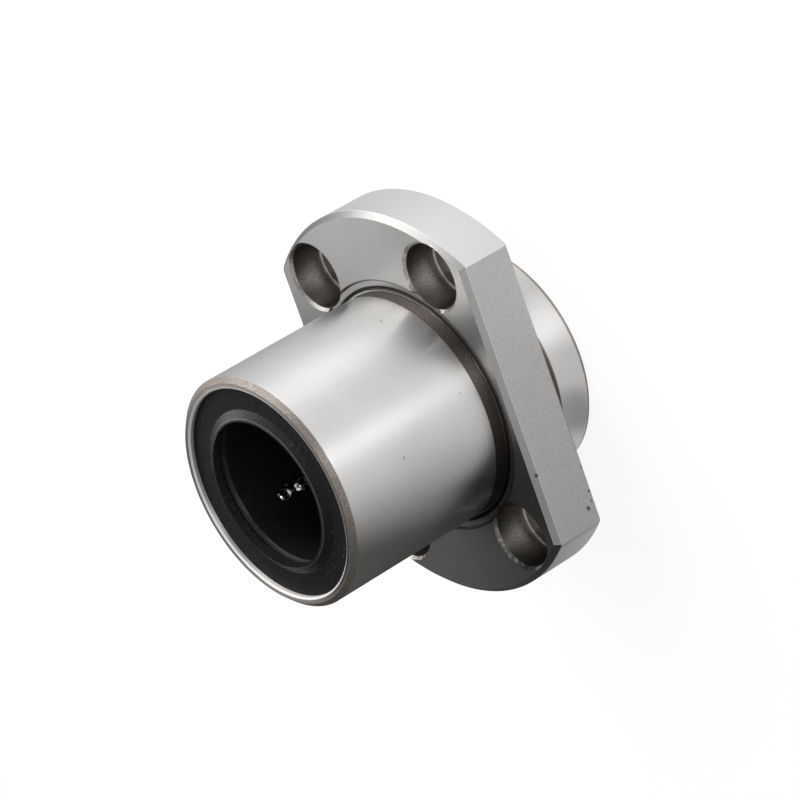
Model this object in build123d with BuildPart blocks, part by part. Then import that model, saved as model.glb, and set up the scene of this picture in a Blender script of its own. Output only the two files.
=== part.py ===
"""Flanged linear ball bearing for a 20 mm shaft, with a pilot behind its two-side-cut flange.

Millimetres. +Z runs along the bore, from the pilot to the long end. The origin is on the
bore's axis, in the flange's mounting face. The flange's flats face +X and -X. Balls run in
closed circuits: along the shaft between cage and race, round a turn, and back behind the cage.
"""

import math
import os

from build123d import *

os.makedirs("parts", exist_ok=True)

# Lengths along the bore
overall_length = 42.0
pilot_length = 8.0

# Shaft and balls
shaft_diameter = 20.0
ball_diameter = 3.175
race_clearance = 0.01
channel_clearance = 0.09
row_clearance = 0.06
return_lift = 0.785
circuit_count = 5
least_ball_spacing = 1.03
modelled_row_balls = 6
first_row_angle = 206.0
row_phase = 0.98

# Ball cage
cage_shaft_clearance = 0.35
cage_race_clearance = 0.075
channel_web = 1.9
cage_end_wall = 0.3
ramp_length = 1.6

# Seals and side rings
seal_shoulder = 0.4
seal_recess = 0.7
seal_thickness = 1.2
seal_lip_depth = 0.05
seal_lip_length = 0.9
seal_mouth_width = 0.25
seal_collar_width = 1.4
seal_throat_width = 0.9
side_ring_thickness = 0.6
side_ring_clearance = 0.6

# Outer cylinder
sleeve_wall = 1.5
turn_zone_clearance = 0.05
race_lead_in = 0.4
race_lead_out = 1.5
end_chamfer = 0.7
bore_edge_chamfer = 0.2
relief_step = 0.25
relief_width = 1.45

# Flange and its seat
flange_diameter = 54.0
flange_thickness = 8.0
flange_across_flats = 38.0
flange_front_chamfer = 0.7
flange_back_chamfer = 0.4
seat_step = 0.35
joint_chamfer = 0.15
face_recess_width = 1.25
face_recess_depth = 0.4

# Screw holes: the walls left beside a counterbore set its 9 mm width and a 24 by 36 mm pattern
hole_to_flat = 7.0
wall_inside_counterbore = 0.7833
wall_outside_counterbore = 0.8667
screw_hole_diameter = 5.5
counterbore_depth = 5.1
counterbore_chamfer = 0.4

# Radii, from the shaft outwards
shaft_radius = shaft_diameter / 2
ball_radius = ball_diameter / 2
channel_radius = ball_radius + channel_clearance
row_radius = ball_radius + row_clearance
loaded_radius = shaft_radius + ball_radius
race_radius = loaded_radius + ball_radius + race_clearance
return_radius = loaded_radius + return_lift
turn_zone_radius = return_radius + channel_radius + turn_zone_clearance
end_bore_radius = turn_zone_radius + seal_shoulder
sleeve_radius = end_bore_radius + sleeve_wall
relief_radius = sleeve_radius - relief_step
seat_radius = sleeve_radius + seat_step
cage_inner_radius = shaft_radius + cage_shaft_clearance
cage_outer_radius = race_radius - cage_race_clearance
channel_floor_radius = return_radius - channel_radius

# Screw holes, in the ring between the seat and the rim
counterbore_inside = seat_radius + wall_inside_counterbore
counterbore_outside = flange_diameter / 2 - wall_outside_counterbore
counterbore_radius = (counterbore_outside - counterbore_inside) / 2
hole_circle_radius = (counterbore_outside + counterbore_inside) / 2
hole_spacing_x = flange_across_flats - 2 * hole_to_flat
hole_spacing_y = 2 * math.sqrt(hole_circle_radius**2 - (hole_spacing_x / 2) ** 2)

# Heights: the two ends mirror each other about the middle, apart from the flange
pilot_end = -pilot_length
long_end = overall_length - pilot_length
middle = (pilot_end + long_end) / 2
end_bore_depth = seal_recess + seal_thickness + side_ring_thickness
cage_half_length = overall_length / 2 - end_bore_depth

# One ball circuit: two straight rows joined by half-circle turns
row_offset = channel_radius + channel_web / 2
turn_centre = cage_half_length - cage_end_wall - channel_radius - row_offset
loaded_half_length = turn_centre - ramp_length
circuit_length = 4 * turn_centre + 2 * math.pi * row_offset
balls_per_circuit = int(circuit_length / (ball_diameter * least_ball_spacing))
ball_pitch = circuit_length / balls_per_circuit

# Distances from the axis along the circuit's own middle plane
loaded_normal = math.sqrt(loaded_radius**2 - row_offset**2)
return_normal = math.sqrt(return_radius**2 - row_offset**2)
circuit_step = 360 / circuit_count
circuit_angle = first_row_angle - math.degrees(math.asin(row_offset / loaded_radius))
return_row_angle = circuit_angle - math.degrees(math.asin(row_offset / return_radius))


def half_section(points):
    """A turned piece's half section, a face in the XZ plane, from its (radius, height) points."""
    with BuildSketch(Plane.XZ) as section:
        with BuildLine():
            Polyline(*points, close=True)
        make_face()
    return section.sketch


def bore_profile():
    """The outer cylinder's inner wall, as (radius, height) points from the long end down."""
    upper = [
        (end_bore_radius + bore_edge_chamfer, overall_length / 2),
        (end_bore_radius, overall_length / 2 - bore_edge_chamfer),
        (end_bore_radius, cage_half_length),
        (turn_zone_radius, cage_half_length),
        (turn_zone_radius, loaded_half_length + race_lead_out),
        (race_radius, loaded_half_length - race_lead_in),
    ]
    lower = [(radius, -height) for radius, height in reversed(upper)]
    return [(radius, middle + height) for radius, height in upper + lower]


def make_outer_cylinder():
    """The hardened outer cylinder: ground outside, stepped for the flange, with its ball race."""
    seat_bottom = face_recess_depth
    seat_top = flange_thickness - face_recess_depth
    outside = [
        (sleeve_radius - end_chamfer, pilot_end),
        (sleeve_radius, pilot_end + end_chamfer),
        (sleeve_radius, -relief_width),
        (relief_radius, -relief_width),
        (relief_radius, seat_bottom),
        (seat_radius - joint_chamfer, seat_bottom),
        (seat_radius, seat_bottom + joint_chamfer),
        (seat_radius, seat_top - joint_chamfer),
        (seat_radius - joint_chamfer, seat_top),
        (relief_radius, seat_top),
        (relief_radius, flange_thickness + relief_width),
        (sleeve_radius, flange_thickness + relief_width),
        (sleeve_radius, long_end - end_chamfer),
        (sleeve_radius - end_chamfer, long_end),
    ]
    section = half_section(outside + bore_profile())
    with BuildPart() as outer_cylinder:
        revolve(section, axis=Axis.Z)
        with BuildSketch(Plane.XY.offset(middle - turn_centre)):
            with PolarLocations(return_radius, circuit_count, start_angle=return_row_angle):
                Circle(channel_radius)
        extrude(amount=2 * turn_centre, mode=Mode.SUBTRACT)
    outer_cylinder.part.label = "outer_cylinder"
    export_step(outer_cylinder.part, "parts/outer_cylinder.step")


def make_mounting_flange():
    """The flange ring: two flats, four counterbored screw holes, and a recess round the sleeve."""
    seat_top = flange_thickness - face_recess_depth
    with BuildPart() as mounting_flange:
        with BuildSketch():
            Circle(flange_diameter / 2)
            Rectangle(flange_across_flats, flange_diameter, mode=Mode.INTERSECT)
        extrude(amount=flange_thickness)
        chamfer(mounting_flange.faces().sort_by(Axis.Z)[-1].edges(), flange_front_chamfer)
        chamfer(mounting_flange.faces().sort_by(Axis.Z)[0].edges(), flange_back_chamfer)
        with BuildSketch(Plane.XY.offset(seat_top)):
            Circle(seat_radius + face_recess_width)
        extrude(amount=face_recess_depth, mode=Mode.SUBTRACT)
        with BuildSketch():
            Circle(seat_radius)
        extrude(amount=flange_thickness, mode=Mode.SUBTRACT)
        joint_edges = mounting_flange.edges().filter_by(GeomType.CIRCLE)
        chamfer(joint_edges.filter_by(lambda edge: abs(edge.radius - seat_radius) < 0.001), joint_chamfer)
        with Locations(Plane.XY.offset(flange_thickness)):
            with GridLocations(hole_spacing_x, hole_spacing_y, 2, 2):
                CounterBoreHole(screw_hole_diameter / 2, counterbore_radius, counterbore_depth)
        with BuildSketch(Plane.XY.offset(flange_thickness)):
            with GridLocations(hole_spacing_x, hole_spacing_y, 2, 2):
                Circle(counterbore_radius + counterbore_chamfer)
        extrude(amount=-counterbore_chamfer, taper=45, mode=Mode.SUBTRACT)
    mounting_flange.part.label = "mounting_flange"
    export_step(mounting_flange.part, "parts/mounting_flange.step")


def ball_channel():
    """The space that one circuit's balls need in the cage, with the circuit's middle plane at +X."""
    with BuildSketch(Plane.YZ) as loop:
        with Locations((0, middle)):
            SlotCenterToCenter(2 * turn_centre, 2 * (row_offset + channel_radius), rotation=90)
            SlotCenterToCenter(2 * turn_centre, channel_web, rotation=90, mode=Mode.SUBTRACT)
    with BuildPart() as channel:
        extrude(loop.sketch, amount=sleeve_radius)
        with Locations((0, 0, middle)):
            Cylinder(channel_floor_radius, overall_length, mode=Mode.SUBTRACT)
        with BuildLine() as row:
            Polyline(
                (return_normal, row_offset, middle - turn_centre),
                (loaded_normal, row_offset, middle - loaded_half_length),
                (loaded_normal, row_offset, middle + loaded_half_length),
                (return_normal, row_offset, middle + turn_centre),
            )
        with BuildSketch(Plane(row.line @ 0, z_dir=row.line % 0)):
            Circle(row_radius)
        sweep(path=row.line, transition=Transition.RIGHT)
    return channel.part


def make_ball_cage():
    """The moulded cage: one looped channel for each circuit, slotted through to the shaft."""
    channel = ball_channel()
    with BuildPart() as ball_cage:
        with Locations((0, 0, middle)):
            Cylinder(cage_outer_radius, 2 * cage_half_length)
            Cylinder(cage_inner_radius, 2 * cage_half_length, mode=Mode.SUBTRACT)
        for circuit in range(circuit_count):
            turn = (0, 0, circuit_angle + circuit * circuit_step)
            add(channel, rotation=turn, mode=Mode.SUBTRACT)
    ball_cage.part.label = "ball_cage"
    export_step(ball_cage.part, "parts/ball_cage.step")


def make_side_ring(name, end, outward):
    """A steel washer between the cage and the seal at one end; outward is +1 or -1 along Z."""
    outer_face = end - outward * (seal_recess + seal_thickness)
    inner_face = end - outward * end_bore_depth
    section = half_section(
        [
            (shaft_radius + side_ring_clearance, outer_face),
            (end_bore_radius, outer_face),
            (end_bore_radius, inner_face),
            (shaft_radius + side_ring_clearance, inner_face),
        ]
    )
    with BuildPart() as side_ring:
        revolve(section, axis=Axis.Z)
    side_ring.part.label = name
    export_step(side_ring.part, f"parts/{name}.step")


def make_seal(name, end, outward):
    """A rubber end seal: a sunk flat ring with a raised cone round the lip that wipes the shaft."""
    lip_top = end - outward * seal_lip_depth
    lip_bottom = lip_top - outward * seal_lip_length
    ring_top = end - outward * seal_recess
    ring_bottom = ring_top - outward * seal_thickness
    section = half_section(
        [
            (shaft_radius, lip_top),
            (shaft_radius + seal_mouth_width, lip_top),
            (shaft_radius + seal_collar_width, ring_top),
            (end_bore_radius, ring_top),
            (end_bore_radius, ring_bottom),
            (shaft_radius + seal_throat_width, ring_bottom),
            (shaft_radius, lip_bottom),
        ]
    )
    with BuildPart() as seal:
        revolve(section, axis=Axis.Z)
    seal.part.label = name
    export_step(seal.part, f"parts/{name}.step")


def ball_centre(circuit, height):
    """Where a ball stands in a circuit's loaded row, at a height above the bearing's middle."""
    lift = max(0.0, abs(height) - loaded_half_length) / ramp_length
    normal = loaded_normal + lift * (return_normal - loaded_normal)
    turn = circuit_angle + circuit * circuit_step
    return Vector(normal, row_offset, middle + height).rotate(Axis.Z, turn)


def make_loaded_balls():
    """Six of the balls that carry the shaft in each circuit, from the middle of its row."""
    for circuit in range(circuit_count):
        for number in range(modelled_row_balls):
            name = f"loaded_ball_{circuit + 1}_{number + 1}"
            height = row_phase + (number - (modelled_row_balls - 1) / 2) * ball_pitch
            with BuildPart() as ball:
                with Locations(ball_centre(circuit, height)):
                    Sphere(ball_radius)
            ball.part.label = name
            export_step(ball.part, f"parts/{name}.step")


make_outer_cylinder()
make_mounting_flange()
make_ball_cage()
make_side_ring("long_end_side_ring", long_end, 1)
make_side_ring("pilot_end_side_ring", pilot_end, -1)
make_seal("long_end_seal", long_end, 1)
make_seal("pilot_end_seal", pilot_end, -1)
make_loaded_balls()
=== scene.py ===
"""A flanged linear ball bearing: a ground steel sleeve in a machined flange, sealed at both ends.

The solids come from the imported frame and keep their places. This script gives each of them its
finish, adds the balls that run back behind the cage, and sets the studio, its light and the camera.
Lengths in the fields are millimetres, and every mesh is in metres. A field that ends in _from or
_to says where a zone of a finish starts or ends, a little inside the edge of the solid.
"""

import logging
import math
from dataclasses import dataclass, field
from enum import Enum

import bpy
from mathutils import Matrix, Vector


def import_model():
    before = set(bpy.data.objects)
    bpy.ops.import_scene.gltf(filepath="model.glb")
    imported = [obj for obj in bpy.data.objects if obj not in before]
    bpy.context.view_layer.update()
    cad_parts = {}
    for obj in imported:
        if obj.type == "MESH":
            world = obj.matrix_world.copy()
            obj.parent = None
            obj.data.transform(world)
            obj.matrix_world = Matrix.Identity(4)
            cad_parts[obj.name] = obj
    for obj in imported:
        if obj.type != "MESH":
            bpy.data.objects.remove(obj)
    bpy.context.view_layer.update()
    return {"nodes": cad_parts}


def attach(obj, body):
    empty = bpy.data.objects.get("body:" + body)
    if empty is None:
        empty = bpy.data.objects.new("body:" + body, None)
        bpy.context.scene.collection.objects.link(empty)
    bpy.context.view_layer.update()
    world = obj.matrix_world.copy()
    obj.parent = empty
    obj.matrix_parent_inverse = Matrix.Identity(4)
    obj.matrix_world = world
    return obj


log = logging.getLogger("bearing")

MM = 0.001
BODY = "root"
MIDDLE = 13.0
BORE_AXIS = (0.0, 0.0, 1.0)
ALONG_THE_FLAT = (0.0, 1.0, 0.0)

Colour = tuple[float, float, float]
Place = tuple[float, float, float]
Span = tuple[float, float]
Socket = bpy.types.NodeSocket
Nodes = dict[str, bpy.types.Object]


class Slot(Enum):
    """The record's material slots."""

    GROUND_STEEL = "ground_steel"
    FLANGE_STEEL = "flange_steel"
    BALL_STEEL = "ball_steel"
    RING_STEEL = "ring_steel"
    CAGE_RESIN = "cage_resin"
    SEAL_RUBBER = "seal_rubber"


class Mixed(Enum):
    """What a Mix node mixes, in the order of its outputs."""

    FLOAT = 0
    VECTOR = 1
    RGBA = 2


@dataclass(frozen=True)
class Shine:
    """The numbers that a finish gives straight to the shader's own sockets."""

    metallic: float = 1.0
    anisotropy: float = 0.0
    coat: float = 0.0
    specular: float = 0.5


@dataclass(frozen=True)
class Patch:
    """A colour that a noise brings out in patches, from its start to where it is full."""

    colour: Colour
    start: float
    full: float
    amount: float


@dataclass(frozen=True)
class Spot:
    """A round place with a level of its own in its core, which fades out at its reach."""

    middle: Place
    reach: float
    core: float
    level: float


@dataclass(frozen=True)
class Lamp:
    """A soft rectangular lamp that points at the bearing's middle, or elsewhere."""

    name: str
    place: Place
    width: float
    height: float
    watts: float
    target: Place = (0.0, 0.0, MIDDLE)


class NodeSheet:
    """A node tree under construction, with short calls for the nodes that the finishes share."""

    CURVE_TOP = 2.0
    NOISE_SPAN: Span = (0.3, 0.7)

    def __init__(self, tree: bpy.types.NodeTree) -> None:
        """Empties the tree.

        Args:
            tree: The material's or the world's node tree.
        """
        self.tree = tree
        tree.nodes.clear()

    def give(self, socket: Socket, value: object) -> None:
        """Links a socket to another, or sets it to a plain value.

        Args:
            socket: The input to fill.
            value: An output socket, a number, or a tuple; None leaves the input alone.
        """
        if value is None:
            return
        if isinstance(value, Socket):
            self.tree.links.new(value, socket)
        else:
            socket.default_value = value

    def fill(self, sockets: list[Socket], values: tuple[object, ...]) -> None:
        """Gives each socket of a list its value, in the same order."""
        for socket, value in zip(sockets, values):
            self.give(socket, value)

    def node(self, kind: str, **settings: object) -> bpy.types.Node:
        """A new node.

        Args:
            kind: The node's type, without its ShaderNode prefix, as in Math.
            **settings: Attributes to set on it.

        Returns:
            The node.
        """
        made = self.tree.nodes.new(f"ShaderNode{kind}")
        for name, value in settings.items():
            setattr(made, name, value)
        return made

    def calculate(self, operation: str, *values: object) -> Socket:
        """A Math node's result.

        Args:
            operation: The node's operation, such as ADD.
            *values: Its inputs, sockets or numbers.

        Returns:
            The output socket.
        """
        made = self.node("Math", operation=operation)
        self.fill(made.inputs, values)
        return made.outputs[0]

    def plus(self, first: object, second: object) -> Socket:
        """The sum of two numbers."""
        return self.calculate("ADD", first, second)

    def minus(self, first: object, second: object) -> Socket:
        """The first number less the second."""
        return self.calculate("SUBTRACT", first, second)

    def rest(self, value: object) -> Socket:
        """What a number leaves of 1."""
        return self.minus(1.0, value)

    def size(self, value: object) -> Socket:
        """A number without its sign."""
        return self.calculate("ABSOLUTE", value)

    def times(self, first: object, *others: object) -> Socket:
        """The product of two or more numbers."""
        for other in others:
            first = self.calculate("MULTIPLY", first, other)
        return first

    def most(self, first: object, *others: object) -> Socket:
        """The largest of two or more numbers."""
        for other in others:
            first = self.calculate("MAXIMUM", first, other)
        return first

    def vector(self, operation: str, *values: object) -> Socket:
        """A Vector Math node's vector result.

        Args:
            operation: The node's operation, such as CROSS_PRODUCT.
            *values: Its inputs, sockets or tuples.

        Returns:
            The output socket.
        """
        made = self.node("VectorMath", operation=operation)
        self.fill(made.inputs, values)
        return made.outputs["Vector"]

    def length(self, value: object) -> Socket:
        """The length of a vector."""
        made = self.node("VectorMath", operation="LENGTH")
        self.give(made.inputs[0], value)
        return made.outputs["Value"]

    def away(self, place: Socket, middle: Place) -> Socket:
        """How far a place is from a fixed point."""
        return self.length(self.vector("SUBTRACT", place, middle))

    def split(self, value: object) -> list[Socket]:
        """The three parts of a vector."""
        made = self.node("SeparateXYZ")
        self.give(made.inputs[0], value)
        return list(made.outputs)

    def join(self, x: object, y: object, z: object) -> Socket:
        """A vector from its three parts."""
        made = self.node("CombineXYZ")
        self.fill(made.inputs, (x, y, z))
        return made.outputs[0]

    def ramp(
        self, value: object, start: float, end: float, low: float = 0.0, high: float = 1.0
    ) -> Socket:
        """A value taken from one range to another, held at both ends.

        Args:
            value: What to take over.
            start: Where the ramp starts.
            end: Where it ends; less than start for a falling ramp.
            low: The result at the start.
            high: The result at the end.

        Returns:
            The output socket.
        """
        made = self.node("MapRange", clamp=True)
        self.fill(made.inputs, (value, start, end, low, high))
        return made.outputs[0]

    def past(self, value: object, edge: float, soft: float, amount: float = 1.0) -> Socket:
        """An amount where a value is past an edge, and 0 short of it.

        Args:
            value: What to compare.
            edge: The edge.
            soft: Half the width of the soft border.
            amount: The result past the edge.

        Returns:
            The output socket.
        """
        return self.ramp(value, edge - soft, edge + soft, 0.0, amount)

    def short_of(self, value: object, edge: float, soft: float) -> Socket:
        """1 where a value is short of an edge and 0 past it, with past's soft border."""
        return self.ramp(value, edge + soft, edge - soft)

    def even(self, noise: Socket, low: float = 0.0, high: float = 1.0) -> Socket:
        """A noise's usual span, taken to another, and held at both ends."""
        return self.ramp(noise, *self.NOISE_SPAN, low, high)

    def spot(self, place: Socket, spot: Spot, around: float) -> Socket:
        """A spot's level in its core, and another value beyond its reach.

        Args:
            place: The point or direction.
            spot: The spot.
            around: The value beyond the spot.

        Returns:
            The output socket.
        """
        return self.ramp(self.away(place, spot.middle), spot.reach, spot.core, around, spot.level)

    def stops(self, value: object, table: list[Span]) -> Socket:
        """A value read off a line through a few stops.

        Args:
            value: Where to read, from 0 to 1.
            table: The stops, each a place from 0 to 1 and a value.

        Returns:
            The output socket.
        """
        made = self.node("FloatCurve")
        curve = made.mapping.curves[0]
        made.mapping.clip_max_y = self.CURVE_TOP
        for place, number in table[1:-1]:
            curve.points.new(place, number)
        curve.points[0].location = table[0]
        curve.points[-1].location = table[-1]
        made.mapping.update()
        self.give(made.inputs["Value"], value)
        return made.outputs[0]

    def mix(self, kind: Mixed, factor: object, first: object, second: object) -> Socket:
        """A Mix node's result.

        Args:
            kind: What it mixes.
            factor: 0 gives the first, 1 the second.
            first: A socket or plain value.
            second: A socket or plain value.

        Returns:
            The output socket.
        """
        made = self.node("Mix", data_type=kind.name)
        pair = 2 + 2 * kind.value
        self.fill(made.inputs[:1] + made.inputs[pair : pair + 2], (factor, first, second))
        return made.outputs[kind.value]

    def blend(self, factor: object, first: object, second: object) -> Socket:
        """A number between two others."""
        return self.mix(Mixed.FLOAT, factor, first, second)

    def shift(self, factor: object, first: object, second: object) -> Socket:
        """A vector between two others."""
        return self.mix(Mixed.VECTOR, factor, first, second)

    def tint(self, factor: object, *colours: Socket | Colour) -> Socket:
        """A colour between two others, where a tuple is a linear colour."""
        pair = [(*colour, 1.0) if isinstance(colour, tuple) else colour for colour in colours]
        return self.mix(Mixed.RGBA, factor, *pair)

    def patch(self, noise: Socket, colour: object, patch: Patch, *zones: Socket) -> Socket:
        """A colour with patches of another, which a noise brings out.

        Args:
            noise: The noise.
            colour: The colour between the patches.
            patch: The patches.
            *zones: Sockets that are 1 where the patches may show.

        Returns:
            The output socket.
        """
        shown = self.ramp(noise, patch.start, patch.full, 0.0, patch.amount)
        return self.tint(self.times(shown, *zones), colour, patch.colour)

    def noise(self, place: object, scale: float, detail: float = 2.0) -> Socket:
        """A Noise Texture's value.

        Args:
            place: The vector that it reads.
            scale: Its scale.
            detail: Its detail.

        Returns:
            The output socket, about 0.5 on average.
        """
        made = self.node("TexNoise")
        self.give(made.inputs["Vector"], place)
        made.inputs["Scale"].default_value = scale
        made.inputs["Detail"].default_value = detail
        return made.outputs[0]

    def place_mm(self) -> Socket:
        """The point on the piece in its own frame, in millimetres."""
        made = self.node("TexCoord")
        return self.vector("MULTIPLY", made.outputs["Object"], (1.0 / MM,) * 3)


class FinishSheet(NodeSheet):
    """A material under construction, with its shader and output in place."""

    def __init__(self, slot: Slot, shine: Shine) -> None:
        """Makes the material.

        Args:
            slot: The slot that the material is named after.
            shine: The shader's plain numbers.
        """
        self.material = bpy.data.materials.new(f"{slot.value}_finish")
        self.material.use_nodes = True
        super().__init__(self.material.node_tree)
        self.shader = self.node("BsdfPrincipled")
        output = self.node("OutputMaterial")
        self.tree.links.new(self.shader.outputs[0], output.inputs["Surface"])
        numbers = {
            "Metallic": shine.metallic,
            "Anisotropic": shine.anisotropy,
            "Coat Weight": shine.coat,
            "Specular IOR Level": shine.specular,
        }
        for name, number in numbers.items():
            self.shader.inputs[name].default_value = number

    def wear(
        self,
        colour: Socket,
        roughness: Socket,
        height: Socket | None = None,
        depth: float = 0.0,
        facing: Socket | None = None,
    ) -> None:
        """Fills the shader's main inputs.

        Args:
            colour: The base colour.
            roughness: The roughness.
            height: A socket from 0 to 1 for the bump, if there is one.
            depth: The bump's depth in millimetres.
            facing: The surface's true direction, if the mesh's own won't do.
        """
        self.give(self.shader.inputs["Base Color"], colour)
        self.give(self.shader.inputs["Roughness"], roughness)
        if height is not None:
            bump = self.node("Bump")
            bump.inputs["Strength"].default_value = 1.0
            bump.inputs["Distance"].default_value = depth * MM
            self.give(bump.inputs["Height"], height)
            self.give(bump.inputs["Normal"], facing)
            self.give(self.shader.inputs["Normal"], bump.outputs[0])

    def comb(self, grain: object) -> None:
        """Turns the shader's stretched highlights across the tool's lines.

        Args:
            grain: A vector socket that runs along the lines.
        """
        facing = self.node("NewGeometry").outputs["Normal"]
        self.give(self.shader.inputs["Tangent"], self.vector("CROSS_PRODUCT", facing, grain))

    def lines_round_the_bore(self, place: Socket) -> Socket:
        """The direction of turned lines at a place."""
        return self.vector("CROSS_PRODUCT", BORE_AXIS, place)


@dataclass(frozen=True)
class GroundSteelFinish:
    """Hardened sleeve steel: ground bright outside, left brown-grey on chamfers and reliefs.

    The ends' fields are heights from the bearing's middle, or radii. The dark band on the pilot
    behind the flange is painted shadow.
    """

    ground_from: float = 15.96
    bore_to: float = 14.73
    # A band either side of the flange's back face; where it shows on the pilot it is painted
    # shadow.
    shadow_band_to: float = 2.59
    pilot_chamfer_from: float = -7.12
    end_from: float = 20.97
    end_to: float = 15.08
    arris_from: float = 20.75
    arris_to: float = 14.77
    relief_middle: float = 4.0
    relief_to: float = 7.0
    ground: Colour = (0.70, 0.69, 0.68)
    ground_cloud: Colour = (0.66, 0.65, 0.64)
    unground: Colour = (0.41, 0.366, 0.333)
    # The relief's own dark brown-grey, which also paints the shadow band on the pilot.
    relief_and_shadow_band: Colour = (0.125, 0.11, 0.10)
    end_face: Colour = (0.40, 0.375, 0.36)
    arris: Colour = (0.82, 0.80, 0.78)
    speck: Patch = Patch((0.22, 0.21, 0.20), 0.775, 0.80, 0.6)
    ring: Patch = Patch((0.5, 0.49, 0.48), 0.35, 0.65, 0.12)
    soot: Patch = Patch((0.13, 0.11, 0.095), 0.38, 0.62, 0.6)
    bare_grain: Patch = Patch((0.75, 0.70, 0.66), 0.62, 0.75, 0.5)
    ring_stretch: Place = (0.04, 0.04, 1.0)
    ground_roughness: Span = (0.31, 0.38)
    unground_roughness: Span = (0.44, 0.60)
    smoother_between: Span = (22.0, 11.0)
    smoother_by: float = 0.055
    scale_on_chamfer: float = 0.35
    scale_on_arris: float = 0.6
    grain_depth: float = 0.006

    def material(self) -> bpy.types.Material:
        """The material, with its zones told apart by radius and height."""
        sheet = FinishSheet(Slot.GROUND_STEEL, Shine(anisotropy=0.8))
        place = sheet.place_mm()
        x, y, z = sheet.split(place)
        outward = sheet.join(x, y, 0.0)
        radius = sheet.length(outward)
        height = sheet.size(sheet.minus(z, MIDDLE))
        # Unground: the pilot's end chamfer, and a band at the flange's back that paints a shadow on
        # the pilot.
        unground = sheet.most(
            sheet.short_of(sheet.size(z), self.shadow_band_to, soft=0.05),
            sheet.short_of(z, self.pilot_chamfer_from, soft=0.04),
        )
        ground = sheet.times(sheet.past(radius, self.ground_from, soft=0.02), sheet.rest(unground))
        end = sheet.times(
            sheet.past(height, self.end_from, soft=0.02),
            sheet.short_of(radius, self.end_to, soft=0.04),
        )
        arris = sheet.times(
            sheet.past(height, self.arris_from, soft=0.03),
            sheet.short_of(radius, self.arris_to, soft=0.03),
        )
        bore = sheet.short_of(radius, self.bore_to, soft=0.02)
        from_relief = sheet.size(sheet.minus(z, self.relief_middle))
        in_relief = sheet.short_of(from_relief, self.relief_to, soft=1.0)

        stretched = sheet.vector("MULTIPLY", place, self.ring_stretch)
        rings = sheet.noise(stretched, scale=5.0, detail=3.0)
        fine_rings = sheet.noise(sheet.join(radius, 0.0, z), scale=22.0, detail=1.0)
        specks = sheet.noise(place, scale=0.8, detail=1.0)
        cloud = sheet.noise(place, scale=0.12)
        grit = sheet.noise(place, scale=4.5, detail=4.0)

        bright = sheet.tint(sheet.even(cloud), self.ground, self.ground_cloud)
        bright = sheet.patch(specks, bright, self.speck)
        bright = sheet.patch(rings, bright, self.ring)
        brown = sheet.tint(in_relief, self.unground, self.relief_and_shadow_band)
        brown = sheet.patch(grit, brown, self.soot)
        brown = sheet.patch(grit, brown, self.bare_grain)
        brown = sheet.tint(end, brown, self.end_face)
        colour = sheet.tint(sheet.most(ground, bore), brown, bright)
        colour = sheet.tint(arris, colour, self.arris)

        polish = sheet.even(fine_rings, *self.ground_roughness)
        smoother = sheet.ramp(z, *self.smoother_between, 0.0, self.smoother_by)
        dull = sheet.even(grit, *self.unground_roughness)
        roughness = sheet.blend(ground, dull, sheet.minus(polish, smoother))
        grain = sheet.blend(ground, grit, sheet.blend(0.5, rings, fine_rings))
        own = sheet.node("NewGeometry").outputs["Normal"]
        facing = sheet.shift(ground, own, sheet.vector("NORMALIZE", outward))
        sheet.wear(colour, roughness, grain, self.grain_depth, facing)

        chamfer = sheet.rest(sheet.most(ground, in_relief, end))
        metal = sheet.rest(sheet.times(chamfer, self.scale_on_chamfer))
        metal = sheet.minus(metal, sheet.times(arris, self.scale_on_arris))
        sheet.give(sheet.shader.inputs["Metallic"], metal)
        sheet.comb(sheet.lines_round_the_bore(place))
        return sheet.material


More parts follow.
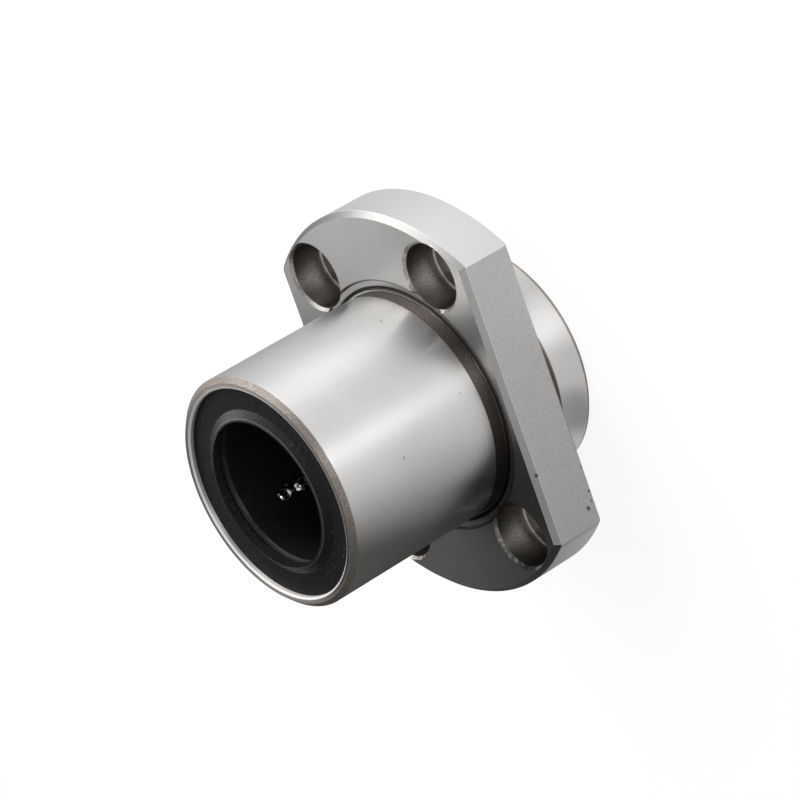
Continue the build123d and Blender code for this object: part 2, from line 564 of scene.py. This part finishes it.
@dataclass(frozen=True)
class MachinedFlangeFinish:
    """Flange steel: turned faces and rim, ground flats, and counterbores in painted light and
    shade.
    """

    hole_x: float = 12.0
    hole_y: float = 18.0
    drilled_to: float = 4.55
    entry_to: float = 4.93
    hole_bottom_to: float = 4.3
    hole_corner_highlight_to: float = 3.14
    screw_hole_from: float = 2.825
    flat_from: float = 18.98
    flat_chamfer_from: float = 18.33
    front_arris_from: float = 7.25
    rim_from: float = 26.975
    highlit_corner_from: float = 26.85
    recess_to: float = 17.605
    recess_wall: float = 17.58
    recess_wall_shade_to: float = 0.16
    gap_to: float = 16.71
    face: Colour = (0.40, 0.393, 0.385)
    face_cloud: Colour = (0.375, 0.368, 0.36)
    rim: Colour = (0.68, 0.67, 0.66)
    flat: Colour = (0.52, 0.51, 0.50)
    recess: Colour = (0.37, 0.36, 0.35)
    # A painted shade line on the recess's step wall.
    recess_wall_shade: Colour = (0.10, 0.095, 0.09)
    gap: Colour = (0.03, 0.028, 0.026)
    # The flats' front chamfer colour, laid on as painted shade.
    flat_chamfer: Colour = (0.12, 0.115, 0.11)
    # The flats' arris colour is a painted highlight.
    arris: Colour = (0.82, 0.81, 0.80)
    knock: Colour = (0.09, 0.08, 0.07)
    # The next colour is the counterbore walls' painted highlight, and the one after it is their
    # painted shade.
    drilled: Colour = (0.70, 0.665, 0.64)
    drilled_painted_shade: Colour = (0.10, 0.088, 0.077)
    hole_bottom: Colour = (0.24, 0.225, 0.21)
    # A painted highlight line where a counterbore's wall meets its floor.
    hole_corner_highlight: Colour = (0.85, 0.82, 0.80)
    flat_grain: Patch = Patch((0.30, 0.295, 0.29), 0.48, 0.66, 0.22)
    dark_grit: Patch = Patch((0.25, 0.24, 0.235), 0.5, 0.75, 0.12)
    light_grit: Patch = Patch((0.7, 0.69, 0.68), 0.45, 0.3, 0.10)
    # Dark patches on the entry chamfers, stronger towards -Y.
    dark_patch: Patch = Patch((0.11, 0.10, 0.09), 0.36, 0.56, 0.75)
    burr: Patch = Patch((0.78, 0.77, 0.76), 0.55, 0.68, 0.6)
    scratched: Patch = Patch((0.10, 0.088, 0.077), 0.45, 0.62, 0.4)
    front_highlight_amount: float = 0.6
    # How much painted shade the chamfer takes; it grows towards -Y.
    chamfer_amount: float = 0.3
    chamfer_darkens: Span = (2.0, -14.0)
    dark_patch_fades: Span = (-12.0, 8.0)
    dark_patch_left: float = 0.3
    # Which side of each counterbore takes the painted highlight, and how it fades towards the
    # mouth.
    highlight_side: Span = (-0.21, -0.06)
    highlight_span: Span = (0.45, 1.0)
    highlight_fades_to_mouth: Span = (7.6, 5.0)
    highlight_at_mouth: float = 0.3
    face_roughness: Span = (0.36, 0.44)
    flat_roughness: Span = (0.38, 0.48)
    rim_roughness: float = 0.32
    drilled_roughness: float = 0.42
    streak_stretch: float = 0.25
    scratch_stretch: Place = (1.0, 1.0, 0.16)
    grit_on_face: float = 0.4
    grit_on_rim: float = 0.1
    grit_on_flat: float = 0.4
    scratch_smoothing: float = 0.6
    grain_depth: float = 0.008
    knocks: tuple[tuple[Place, float], ...] = (
        ((19.0, -11.6, 0.25), 0.30),
        ((19.0, -14.9, 0.55), 0.20),
        ((19.0, -16.2, 0.75), 0.24),
        ((19.0, -16.9, 1.55), 0.36),
    )
    knock_core: float = 0.7
    knock_edge: Span = (0.34, 0.46)
    nick: Spot = Spot((18.95, -9.4, 7.5), 0.34, 0.2, 1.0)

    def material(self) -> bpy.types.Material:
        """The material, with its zones told apart by place."""
        sheet = FinishSheet(Slot.FLANGE_STEEL, Shine(anisotropy=0.5))
        place = sheet.place_mm()
        x, y, z = sheet.split(place)
        radius = sheet.length(sheet.join(x, y, 0.0))
        across = sheet.size(x)
        from_hole_x = sheet.minus(across, self.hole_x)
        from_hole_y = sheet.minus(sheet.size(y), self.hole_y)
        from_hole = sheet.length(sheet.join(from_hole_x, from_hole_y, 0.0))
        hole_x = sheet.times(sheet.calculate("SIGN", x), self.hole_x)
        hole_y = sheet.times(sheet.calculate("SIGN", y), self.hole_y)
        in_hole = sheet.vector("SUBTRACT", place, sheet.join(hole_x, hole_y, 0.0))
        drilled = sheet.short_of(from_hole, self.drilled_to, soft=0.02)
        flat = sheet.past(across, self.flat_from, soft=0.01)
        rim = sheet.past(radius, self.rim_from, soft=0.015)

        turned = sheet.noise(sheet.join(radius, 0.0, z), scale=5.0, detail=3.0)
        along = sheet.times(y, self.streak_stretch)
        streak = sheet.noise(sheet.join(along, x, z), scale=6.0, detail=3.0)
        cloud = sheet.noise(place, scale=0.15)
        grit = sheet.noise(place, scale=6.5, detail=3.0)
        scratch = sheet.noise(sheet.vector("MULTIPLY", in_hole, self.scratch_stretch), scale=11.0)

        colour = sheet.tint(sheet.even(cloud), self.face, self.face_cloud)
        colour = sheet.tint(rim, colour, self.rim)
        colour = sheet.tint(flat, colour, self.flat)
        colour = self.round_the_sleeve(sheet, colour, radius)
        colour = self.on_the_flats(sheet, colour, place, radius, flat)
        colour = sheet.patch(grit, colour, self.dark_grit)
        colour = sheet.patch(grit, colour, self.light_grit)
        colour = self.at_the_mouths(sheet, colour, place, from_hole)
        colour = sheet.tint(self.marks(sheet, place), colour, self.knock)
        # The counterbores' painted highlight and shade.
        bore_light_and_shade = self.in_the_counterbores(sheet, in_hole, from_hole, scratch)
        colour = sheet.tint(drilled, colour, bore_light_and_shade)

        roughness = sheet.even(grit, *self.face_roughness)
        roughness = sheet.blend(rim, roughness, self.rim_roughness)
        roughness = sheet.blend(flat, roughness, sheet.even(streak, *self.flat_roughness))
        roughness = sheet.blend(drilled, roughness, self.drilled_roughness)
        grit_share = sheet.blend(rim, self.grit_on_face, self.grit_on_rim)
        grain = sheet.blend(grit_share, turned, grit)
        grain = sheet.blend(flat, grain, sheet.blend(self.grit_on_flat, streak, grit))
        grain = sheet.blend(drilled, grain, sheet.blend(self.scratch_smoothing, scratch, 0.5))
        sheet.wear(colour, roughness, grain, self.grain_depth)
        lines = sheet.lines_round_the_bore(sheet.shift(drilled, place, in_hole))
        sheet.comb(sheet.shift(flat, lines, ALONG_THE_FLAT))
        return sheet.material

    def round_the_sleeve(self, sheet: NodeSheet, colour: Socket, radius: Socket) -> Socket:
        """The shallow recess in the face, a painted shade line at its wall, and the joint with the
        sleeve.
        """
        colour = sheet.tint(sheet.short_of(radius, self.recess_to, soft=0.025), colour, self.recess)
        from_wall = sheet.size(sheet.minus(radius, self.recess_wall))
        # A painted shade line on the recess's step wall.
        line = sheet.short_of(from_wall, self.recess_wall_shade_to, soft=0.04)
        colour = sheet.tint(line, colour, self.recess_wall_shade)
        return sheet.tint(sheet.short_of(radius, self.gap_to, soft=0.03), colour, self.gap)

    def on_the_flats(
        self, sheet: NodeSheet, colour: Socket, place: Socket, radius: Socket, flat: Socket
    ) -> Socket:
        """The flats' front chamfer in painted shade, their grain, and painted highlights on their
        arrises.

        Args:
            sheet: The material.
            colour: The colour so far.
            place: The point in millimetres.
            radius: The distance from the bore's axis.
            flat: 1 on a flat.

        Returns:
            The colour.
        """
        x, y, z = sheet.split(place)
        # Painted shade on the front chamfer, growing towards -Y.
        chamfer = sheet.past(sheet.size(x), self.flat_chamfer_from, soft=0.03)
        painted_shade = sheet.ramp(y, *self.chamfer_darkens, 0.0, self.chamfer_amount)
        chamfer = sheet.times(chamfer, sheet.rest(flat), painted_shade)
        colour = sheet.tint(chamfer, colour, self.flat_chamfer)
        colour = sheet.patch(sheet.noise(place, scale=2.2), colour, self.flat_grain, flat)
        # Painted highlights on the flat's corner with the rim, on the +Y side, and along its front
        # edge.
        highlit_corner = sheet.past(radius, self.highlit_corner_from, soft=0.05)
        highlit_corner = sheet.times(flat, highlit_corner, sheet.past(y, 0.0, soft=2.0))
        front_highlight = sheet.past(z, self.front_arris_from, soft=0.05, amount=self.front_highlight_amount)
        return sheet.tint(sheet.most(highlit_corner, sheet.times(flat, front_highlight)), colour, self.arris)

    def at_the_mouths(
        self, sheet: NodeSheet, colour: Socket, place: Socket, from_hole: Socket
    ) -> Socket:
        """Dark patches, strongest towards -Y, and bright burrs on the counterbores' entry chamfers.

        Args:
            sheet: The material.
            colour: The colour so far.
            place: The point in millimetres.
            from_hole: The distance from the nearest hole's axis.

        Returns:
            The colour.
        """
        at_entry = sheet.short_of(from_hole, self.entry_to, soft=0.03)
        fading = sheet.ramp(sheet.split(place)[1], *self.dark_patch_fades, 1.0, self.dark_patch_left)
        patchy = sheet.noise(place, scale=1.3)
        colour = sheet.patch(patchy, colour, self.dark_patch, fading, at_entry)
        ragged = sheet.noise(place, scale=2.0, detail=3.0)
        return sheet.patch(ragged, colour, self.burr, at_entry)

    def in_the_counterbores(
        self, sheet: NodeSheet, in_hole: Socket, from_hole: Socket, scratch: Socket
    ) -> Socket:
        """The drilled walls and floors, with a painted highlight on one side over painted shade.

        Args:
            sheet: The material.
            in_hole: The point from the nearest hole's axis, in millimetres.
            from_hole: The distance from that axis.
            scratch: The noise of the drill's scratches.

        Returns:
            The colour.
        """
        x, y, z = sheet.split(in_hole)
        # Painted highlight on the wall's side towards the light, fading near the mouth, over
        # painted shade.
        side = sheet.plus(sheet.times(x, self.highlight_side[0]), sheet.times(y, self.highlight_side[1]))
        depth = sheet.ramp(z, *self.highlight_fades_to_mouth, self.highlight_at_mouth, 1.0)
        painted_highlight = sheet.times(sheet.ramp(side, *self.highlight_span), depth)
        colour = sheet.tint(painted_highlight, self.drilled_painted_shade, self.drilled)
        colour = sheet.patch(scratch, colour, self.scratched)
        # A painted highlight line where the wall meets the floor.
        highlit_corner = sheet.short_of(z, self.hole_corner_highlight_to, soft=0.04)
        colour = sheet.tint(highlit_corner, colour, self.hole_corner_highlight)
        bottom = sheet.short_of(from_hole, self.hole_bottom_to, soft=0.04)
        colour = sheet.tint(bottom, colour, self.hole_bottom)
        # Painted shade down the screw hole below the floor.
        below = sheet.short_of(z, self.screw_hole_from, soft=0.025)
        return sheet.tint(below, colour, self.drilled_painted_shade)

    def marks(self, sheet: NodeSheet, place: Socket) -> Socket:
        """The small dark knocks on one flat's lower edge and the nick in its front arris.

        Args:
            sheet: The material.
            place: The point in millimetres.

        Returns:
            A socket, 1 in a mark.
        """
        ragged = sheet.ramp(sheet.noise(place, scale=2.6), *self.knock_edge)
        marks = [sheet.spot(place, self.nick, 0.0)]
        for middle, reach in self.knocks:
            knock = sheet.spot(place, Spot(middle, reach, self.knock_core * reach, 1.0), 0.0)
            marks.append(sheet.times(knock, ragged))
        return sheet.most(*marks)


@dataclass(frozen=True)
class SealRubberFinish:
    """Black moulded rubber: semi-matte, smoother on the collar with a painted sheen, and fine dust.
    """

    collar_to: float = 11.4
    lip_from: float = 10.29
    lip_to: float = 10.43
    face: Colour = (0.004, 0.004, 0.0042)
    # The collar's grey is painted sheen.
    collar: Colour = (0.014, 0.014, 0.0143)
    # A painted highlight line on the inner lip.
    lip_highlight: Colour = (0.16, 0.155, 0.15)
    dust: Patch = Patch((0.16, 0.155, 0.15), 0.70, 0.76, 0.6)
    lip_amount: float = 0.5
    face_roughness: Span = (0.55, 0.75)
    collar_roughness: Span = (0.20, 0.30)
    swell_on_face: float = 0.75
    swell_on_collar: float = 0.1
    grain_depth: float = 0.05

    def material(self) -> bpy.types.Material:
        """The material, with the collar told from the flat ring by radius."""
        sheet = FinishSheet(Slot.SEAL_RUBBER, Shine(metallic=0.0, specular=0.3))
        place = sheet.place_mm()
        x, y, _ = sheet.split(place)
        radius = sheet.length(sheet.join(x, y, 0.0))
        collar = sheet.short_of(radius, self.collar_to, soft=0.02)
        # The inner lip's painted highlight line.
        lip_highlight = sheet.times(
            sheet.short_of(radius, self.lip_to, soft=0.03),
            sheet.past(radius, self.lip_from, soft=0.03, amount=self.lip_amount),
        )
        grain = sheet.noise(place, scale=5.0, detail=4.0)
        specks = sheet.noise(place, scale=3.2, detail=1.0)
        swell = sheet.noise(place, scale=0.9, detail=3.0)
        # The collar's painted sheen, then the lip's painted highlight.
        colour = sheet.tint(collar, self.face, self.collar)
        colour = sheet.tint(lip_highlight, colour, self.lip_highlight)
        colour = sheet.patch(specks, colour, self.dust)
        matte = sheet.even(grain, *self.face_roughness)
        roughness = sheet.blend(collar, matte, sheet.even(grain, *self.collar_roughness))
        share = sheet.blend(collar, self.swell_on_face, self.swell_on_collar)
        sheet.wear(colour, roughness, sheet.blend(share, grain, swell), self.grain_depth)
        return sheet.material


@dataclass(frozen=True)
class CageResinFinish:
    """Black moulded resin with a fine flow grain along the bore."""

    resin: Colour = (0.006, 0.006, 0.0065)
    flow: Colour = (0.011, 0.011, 0.0115)
    flow_stretch: Place = (1.0, 1.0, 0.2)
    roughness: Span = (0.34, 0.46)
    grain_depth: float = 0.01

    def material(self) -> bpy.types.Material:
        """The material."""
        sheet = FinishSheet(Slot.CAGE_RESIN, Shine(metallic=0.0, specular=0.25))
        stretched = sheet.vector("MULTIPLY", sheet.place_mm(), self.flow_stretch)
        flow = sheet.noise(stretched, scale=3.0, detail=3.0)
        colour = sheet.tint(sheet.even(flow), self.resin, self.flow)
        sheet.wear(colour, sheet.even(flow, *self.roughness), flow, self.grain_depth)
        return sheet.material


@dataclass(frozen=True)
class BallSteelFinish:
    """Polished bearing-ball steel under a thin film of oil."""

    steel: Colour = (0.74, 0.735, 0.73)
    film: Colour = (0.66, 0.655, 0.65)
    film_span: Span = (0.35, 0.65)
    roughness: Span = (0.06, 0.13)

    def material(self) -> bpy.types.Material:
        """The material."""
        sheet = FinishSheet(Slot.BALL_STEEL, Shine(coat=0.2))
        film = sheet.noise(sheet.place_mm(), scale=0.9)
        colour = sheet.tint(sheet.ramp(film, *self.film_span), self.steel, self.film)
        sheet.wear(colour, sheet.even(film, *self.roughness))
        return sheet.material


@dataclass(frozen=True)
class RingSteelFinish:
    """Pressed washer steel with a rolled grain."""

    steel: Colour = (0.42, 0.41, 0.40)
    rolled: Colour = (0.34, 0.33, 0.32)
    rolled_stretch: Place = (1.0, 0.12, 1.0)
    roughness: Span = (0.3, 0.42)
    grain_depth: float = 0.003

    def material(self) -> bpy.types.Material:
        """The material."""
        sheet = FinishSheet(Slot.RING_STEEL, Shine())
        stretched = sheet.vector("MULTIPLY", sheet.place_mm(), self.rolled_stretch)
        rolled = sheet.noise(stretched, scale=8.0)
        colour = sheet.tint(sheet.even(rolled), self.steel, self.rolled)
        sheet.wear(colour, sheet.even(rolled, *self.roughness), rolled, self.grain_depth)
        return sheet.material


def dress(nodes: Nodes, name: str, material: bpy.types.Material) -> None:
    """Gives a solid of the frame its finish.

    Args:
        nodes: The frame's nodes.
        name: The node's name.
        material: The finish for all its slots.
    """
    piece = nodes[name]
    if not piece.material_slots:
        piece.data.materials.append(material)
    for material_slot in piece.material_slots:
        material_slot.material = material
    log.info("%s is dressed in %s", name, material.name)


@dataclass
class SleeveAndFlange:
    """The ground outer cylinder and the flange that is pressed on it."""

    cylinder: str = "outer_cylinder"
    flange: str = "mounting_flange"
    ground_steel: GroundSteelFinish = field(default_factory=GroundSteelFinish)
    flange_steel: MachinedFlangeFinish = field(default_factory=MachinedFlangeFinish)

    def dress(self, nodes: Nodes) -> None:
        """Gives both solids their finishes."""
        dress(nodes, self.cylinder, self.ground_steel.material())
        dress(nodes, self.flange, self.flange_steel.material())


@dataclass
class SealedEnds:
    """The rubber seals and the steel side rings behind them."""

    seals: tuple[str, ...] = ("long_end_seal", "pilot_end_seal")
    rings: tuple[str, ...] = ("long_end_side_ring", "pilot_end_side_ring")
    rubber: SealRubberFinish = field(default_factory=SealRubberFinish)
    steel: RingSteelFinish = field(default_factory=RingSteelFinish)

    def dress(self, nodes: Nodes) -> None:
        """Gives the seals and rings their finishes."""
        rubber = self.rubber.material()
        steel = self.steel.material()
        for name in self.seals:
            dress(nodes, name, rubber)
        for name in self.rings:
            dress(nodes, name, steel)


@dataclass
class BallCircuits:
    """The cage, the balls that carry the shaft, and the balls that run back behind the cage."""

    cage: str = "ball_cage"
    loaded_prefix: str = "loaded_ball_"
    ball_radius: float = 1.5875
    ball_segments: int = 20
    ball_rings: int = 12
    row_offset: float = 2.6275
    turn_centre: float = 13.895
    loaded_half_length: float = 12.295
    ramp_length: float = 1.6
    loaded_normal: float = 11.2857
    return_normal: float = 12.0903
    circuits: int = 5
    circuit_angle: float = 192.893
    balls: int = 22
    modelled_balls: int = 6
    row_phase: float = 0.98
    path_steps: int = 240
    resin: CageResinFinish = field(default_factory=CageResinFinish)
    steel: BallSteelFinish = field(default_factory=BallSteelFinish)

    @property
    def circuit_length(self) -> float:
        """The way round one circuit."""
        return 4 * self.turn_centre + 2 * math.pi * self.row_offset

    @property
    def pitch(self) -> float:
        """The way from one ball to the next."""
        return self.circuit_length / self.balls

    def centreline(self) -> list[Vector]:
        """One circuit's closed path for its balls, from the highest ball that is a solid.

        Returns:
            The points in millimetres, with the circuit's middle plane at +X.
        """
        half_turn = math.pi * self.row_offset
        row = 2 * self.turn_centre
        start = self.row_phase + (self.modelled_balls - 1) / 2 * self.pitch - self.turn_centre
        points = []
        for step in range(self.path_steps):
            way = (start + step / self.path_steps * self.circuit_length) % self.circuit_length
            normal = self.return_normal
            if way < half_turn:
                angle = way / self.row_offset
                y = self.row_offset * math.cos(angle)
                z = self.turn_centre + self.row_offset * math.sin(angle)
            elif way < half_turn + row:
                y = -self.row_offset
                z = self.turn_centre - (way - half_turn)
            elif way < 2 * half_turn + row:
                angle = (way - half_turn - row) / self.row_offset
                y = -self.row_offset * math.cos(angle)
                z = -self.turn_centre - self.row_offset * math.sin(angle)
            else:
                y = self.row_offset
                z = -self.turn_centre + (way - 2 * half_turn - row)
                lift = max(0.0, abs(z) - self.loaded_half_length) / self.ramp_length
                normal = self.loaded_normal + lift * (self.return_normal - self.loaded_normal)
            points.append(Vector((normal, y, MIDDLE + z)))
        return points

    def train_tree(self, material: bpy.types.Material) -> bpy.types.NodeTree:
        """The geometry tree that strings balls on a path and repeats the path round the bore.

        Args:
            material: What the balls are made of.

        Returns:
            The tree.
        """
        tree = bpy.data.node_groups.new("ball_train", "GeometryNodeTree")
        face = tree.interface
        face.new_socket("Geometry", in_out="INPUT", socket_type="NodeSocketGeometry")
        for name in ("Ball radius", "Pitch", "Step angle"):
            face.new_socket(name, in_out="INPUT", socket_type="NodeSocketFloat")
        for name in ("Balls", "Circuits"):
            face.new_socket(name, in_out="INPUT", socket_type="NodeSocketInt")
        face.new_socket("Geometry", in_out="OUTPUT", socket_type="NodeSocketGeometry")

        def add(kind: str, inputs: dict[str | int, object], **settings: object) -> bpy.types.Node:
            """A new node of the tree, with its inputs linked or set, and its settings."""
            made = tree.nodes.new(kind)
            for name, value in settings.items():
                setattr(made, name, value)
            for name, value in inputs.items():
                if isinstance(value, Socket):
                    tree.links.new(value, made.inputs[name])
                else:
                    made.inputs[name].default_value = value
            return made

        sizes = add("NodeGroupInput", {}).outputs
        index = add("GeometryNodeInputIndex", {}).outputs[0]

        # One circuit's balls, a pitch apart on the path.
        path = add("GeometryNodeMeshToCurve", {0: sizes["Geometry"]})
        line = add("GeometryNodeMeshLine", {"Count": sizes["Balls"]})
        steps = {0: index, 1: sizes["Pitch"], 2: sizes["Pitch"]}
        way = add("ShaderNodeMath", steps, operation="MULTIPLY_ADD")
        places = {"Curves": path.outputs[0], "Length": way.outputs[0]}
        sample = add("GeometryNodeSampleCurve", places, mode="LENGTH")
        moved = {"Geometry": line.outputs[0], "Position": sample.outputs["Position"]}
        put = add("GeometryNodeSetPosition", moved)
        form = {
            "Segments": self.ball_segments,
            "Rings": self.ball_rings,
            "Radius": sizes["Ball radius"],
        }
        ball = add("GeometryNodeMeshUVSphere", form)
        smooth = add("GeometryNodeSetShadeSmooth", {"Geometry": ball.outputs["Mesh"]})
        strung = {"Points": put.outputs[0], "Instance": smooth.outputs[0]}
        train = add("GeometryNodeInstanceOnPoints", strung)

        # The circuits, turned one by one about the bore's axis.
        middle = {"Offset": (0.0, 0.0, 0.0), "Count": sizes["Circuits"]}
        hubs = add("GeometryNodeMeshLine", middle)
        angle = add("ShaderNodeMath", {0: index, 1: sizes["Step angle"]}, operation="MULTIPLY")
        turned = {
            "Points": hubs.outputs[0],
            "Instance": train.outputs[0],
            "Rotation": add("ShaderNodeCombineXYZ", {"Z": angle.outputs[0]}).outputs[0],
        }
        trains = add("GeometryNodeInstanceOnPoints", turned)
        real = add("GeometryNodeRealizeInstances", {0: trains.outputs[0]})
        coated = {"Geometry": real.outputs[0], "Material": material}
        coat = add("GeometryNodeSetMaterial", coated)
        add("NodeGroupOutput", {"Geometry": coat.outputs[0]})
        return tree

    def returning_balls(self, material: bpy.types.Material) -> bpy.types.Object:
        """The balls on the ramps, round the turns and in the return rows, as one plain mesh.

        Args:
            material: What the balls are made of.

        Returns:
            The piece, with its place in its mesh.
        """
        spin = Matrix.Rotation(math.radians(self.circuit_angle), 3, "Z")
        points = [(spin @ point) * MM for point in self.centreline()]
        count = len(points)
        mesh = bpy.data.meshes.new("returning_balls")
        mesh.from_pydata(points, [(i, (i + 1) % count) for i in range(count)], [])
        piece = bpy.data.objects.new("returning_balls", mesh)
        bpy.context.scene.collection.objects.link(piece)
        tree = self.train_tree(material)
        modifier = piece.modifiers.new("ball_train", "NODES")
        modifier.node_group = tree
        values = {
            "Ball radius": self.ball_radius * MM,
            "Pitch": self.pitch * MM,
            "Step angle": 2 * math.pi / self.circuits,
            "Balls": self.balls - self.modelled_balls,
            "Circuits": self.circuits,
        }
        for item in tree.interface.items_tree:
            if item.in_out == "INPUT" and item.name in values:
                modifier[item.identifier] = values[item.name]
        graph = bpy.context.evaluated_depsgraph_get()
        made = bpy.data.meshes.new_from_object(piece.evaluated_get(graph))
        piece.modifiers.clear()
        piece.data = made
        return piece

    def build(self, nodes: Nodes) -> None:
        """Dresses the cage and the loaded balls, and adds the balls that run back."""
        steel = self.steel.material()
        dress(nodes, self.cage, self.resin.material())
        for name in sorted(nodes):
            if name.startswith(self.loaded_prefix):
                dress(nodes, name, steel)
        piece = self.returning_balls(steel)
        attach(piece, BODY)
        log.info("%s has %d faces", piece.name, len(piece.data.polygons))


@dataclass
class Studio:
    """The white floor, the soft light and the camera.

    The glow is the floor's brightness in reflections. Its stops are places along bright_side.
    """

    floor_height: float = -8.02
    floor_half_width: float = 3000.0
    bright_side: Span = (0.42, 0.91)
    glow_stops: tuple[Span, ...] = (
        (-130.0, 0.22),
        (-75.0, 0.10),
        (-60.0, 0.07),
        (-50.0, 0.04),
        (-38.0, 0.38),
        (-23.0, 0.52),
        (11.0, 0.80),
        (28.0, 0.95),
        (42.0, 1.05),
    )
    glow_end: float = 50.0
    glow_falls: Span = (-60.0, 5.0)
    glow_left: float = 0.68
    near_glow: Spot = Spot((20.0, 8.5, -8.0), 7.5, 3.0, 1.5)
    near_shade: Spot = Spot((17.2, -11.2, -8.0), 7.0, 3.5, 0.52)
    paper_light: float = 0.88
    paper_tone: float = 0.2
    bounce_tone: float = 0.8
    sky_rises: Span = (-0.14, 0.48)
    sky_low: float = 0.05
    sky_strength: float = 0.8
    card: Spot = Spot((0.56, -0.28, 0.78), 0.52, 0.2, 1.25)
    screen: Spot = Spot((0.74, 0.36, 0.56), 0.75, 0.35, 0.12)
    lamps: tuple[Lamp, ...] = (
        Lamp("overhead_lamp", (-350.0, 468.0, 300.0), 330.0, 330.0, 1.1),
        Lamp("side_lamp", (0.0, 640.0, 190.0), 400.0, 300.0, 1.9),
        Lamp("front_lamp", (565.0, 190.0, 200.0), 160.0, 320.0, 1.3),
        Lamp("near_card", (-100.0, 20.0, 77.0), 75.0, 50.0, 0.022, (-5.0, 12.0, 8.0)),
    )
    focal_length: float = 185.46
    sensor_width: float = 36.0
    clip_metres: Span = (0.01, 20.0)
    camera_place: Place = (416.855, 148.742, 296.967)
    camera_right: Place = (0.61112855, -0.32267509, -0.72277429)
    camera_down: Place = (0.0259008, -0.90449292, 0.42570144)

    def seen(self, sheet: NodeSheet, ray: bpy.types.Node) -> Socket:
        """1 for what the camera sees, straight or through clear matter."""
        return sheet.most(ray.outputs["Is Camera Ray"], ray.outputs["Is Transmission Ray"])

    def glow(self, sheet: NodeSheet) -> Socket:
        """How bright the floor is in the object's reflections."""
        place = sheet.place_mm()
        x, y, _ = sheet.split(place)
        side = sheet.plus(
            sheet.times(x, self.bright_side[0]), sheet.times(y, self.bright_side[1])
        )
        start = self.glow_stops[0][0]
        reach = self.glow_end - start
        stops = [((stop - start) / reach, level) for stop, level in self.glow_stops]
        return sheet.times(
            sheet.stops(sheet.ramp(side, start, self.glow_end), stops),
            sheet.ramp(x, *self.glow_falls, self.glow_left, 1.0),
            sheet.spot(place, self.near_glow, 1.0),
            sheet.spot(place, self.near_shade, 1.0),
        )

    def floor_material(self) -> bpy.types.Material:
        """White to the camera with the object's faint shadow, and shaded off for reflections."""
        material = bpy.data.materials.new("floor_paper")
        material.use_nodes = True
        sheet = NodeSheet(material.node_tree)
        output = sheet.node("OutputMaterial")
        ray = sheet.node("LightPath")
        seen = self.seen(sheet, ray)
        glossy = ray.outputs["Is Glossy Ray"]
        strength = sheet.plus(
            sheet.times(seen, self.paper_light), sheet.times(glossy, self.glow(sheet))
        )
        tone = sheet.blend(seen, self.bounce_tone, self.paper_tone)
        tone = sheet.times(tone, sheet.rest(glossy))
        paper = sheet.node("BsdfDiffuse")
        sheet.give(paper.inputs["Color"], sheet.join(tone, tone, tone))
        light = sheet.node("Emission")
        sheet.give(light.inputs["Strength"], strength)
        both = sheet.node("AddShader")
        sheet.fill(both.inputs, (paper.outputs[0], light.outputs[0]))
        sheet.give(output.inputs["Surface"], both.outputs[0])
        return material

    def build_floor(self) -> None:
        """Lays the floor under the pilot end."""
        reach = self.floor_half_width * MM
        height = self.floor_height * MM
        signs = ((-1, -1), (1, -1), (1, 1), (-1, 1))
        mesh = bpy.data.meshes.new("floor")
        mesh.from_pydata([(x * reach, y * reach, height) for x, y in signs], [], [(0, 1, 2, 3)])
        floor = bpy.data.objects.new("floor", mesh)
        bpy.context.scene.collection.objects.link(floor)
        mesh.materials.append(self.floor_material())
        log.info("floor laid")

    def build_world(self) -> None:
        """White to the camera, and soft light from the bright side for all else."""
        world = bpy.data.worlds.new("studio")
        bpy.context.scene.world = world
        world.use_nodes = True
        sheet = NodeSheet(world.node_tree)
        output = sheet.node("OutputWorld")
        ray = sheet.node("LightPath")
        direction = sheet.node("TexCoord").outputs["Object"]
        sky = sheet.ramp(sheet.split(direction)[1], *self.sky_rises, self.sky_low, 1.0)
        sky = sheet.times(sky, sheet.spot(direction, self.screen, 1.0))
        soft = sheet.plus(sky, sheet.spot(direction, self.card, 0.0))
        soft = sheet.times(soft, self.sky_strength)
        background = sheet.node("Background")
        background.inputs["Color"].default_value = (1.0, 1.0, 1.0, 1.0)
        strength = sheet.blend(self.seen(sheet, ray), soft, 1.0)
        sheet.give(background.inputs["Strength"], strength)
        sheet.give(output.inputs["Surface"], background.outputs[0])
        log.info("world set")

    def hang(self, lamp: Lamp) -> None:
        """Hangs a lamp where it says, out of the camera's sight."""
        data = bpy.data.lights.new(lamp.name, "AREA")
        data.shape = "RECTANGLE"
        data.size = lamp.width * MM
        data.size_y = lamp.height * MM
        data.energy = lamp.watts
        hung = bpy.data.objects.new(lamp.name, data)
        bpy.context.scene.collection.objects.link(hung)
        spot = Vector(lamp.place) * MM
        aim = Vector(lamp.target) * MM - spot
        turn = aim.to_track_quat("-Z", "Y").to_matrix().to_4x4()
        hung.visible_camera = False
        hung.matrix_world = Matrix.Translation(spot) @ turn
        log.info("%s hung", lamp.name)

    def build_camera(self) -> None:
        """Stands the camera where the photograph was taken from."""
        data = bpy.data.cameras.new("camera")
        data.lens = self.focal_length
        data.sensor_width = self.sensor_width
        data.clip_start, data.clip_end = self.clip_metres
        camera = bpy.data.objects.new("camera", data)
        bpy.context.scene.collection.objects.link(camera)
        right = Vector(self.camera_right)
        up = -Vector(self.camera_down)
        back = right.cross(up)
        turn = Matrix((right, up, back)).transposed().to_4x4()
        camera.matrix_world = Matrix.Translation(Vector(self.camera_place) * MM) @ turn
        bpy.context.scene.camera = camera
        log.info("camera set")

    def build(self) -> None:
        """Builds the whole studio."""
        bpy.context.scene.view_settings.view_transform = "Standard"
        self.build_floor()
        self.build_world()
        for lamp in self.lamps:
            self.hang(lamp)
        self.build_camera()


def main() -> None:
    """Dresses the bearing, adds its returning balls and sets the studio."""
    logging.basicConfig(level=logging.INFO, format="%(name)s: %(message)s")
    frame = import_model()
    nodes = frame["nodes"]
    SleeveAndFlange().dress(nodes)
    SealedEnds().dress(nodes)
    BallCircuits().build(nodes)
    Studio().build()


if __name__ == "__main__":
    main()
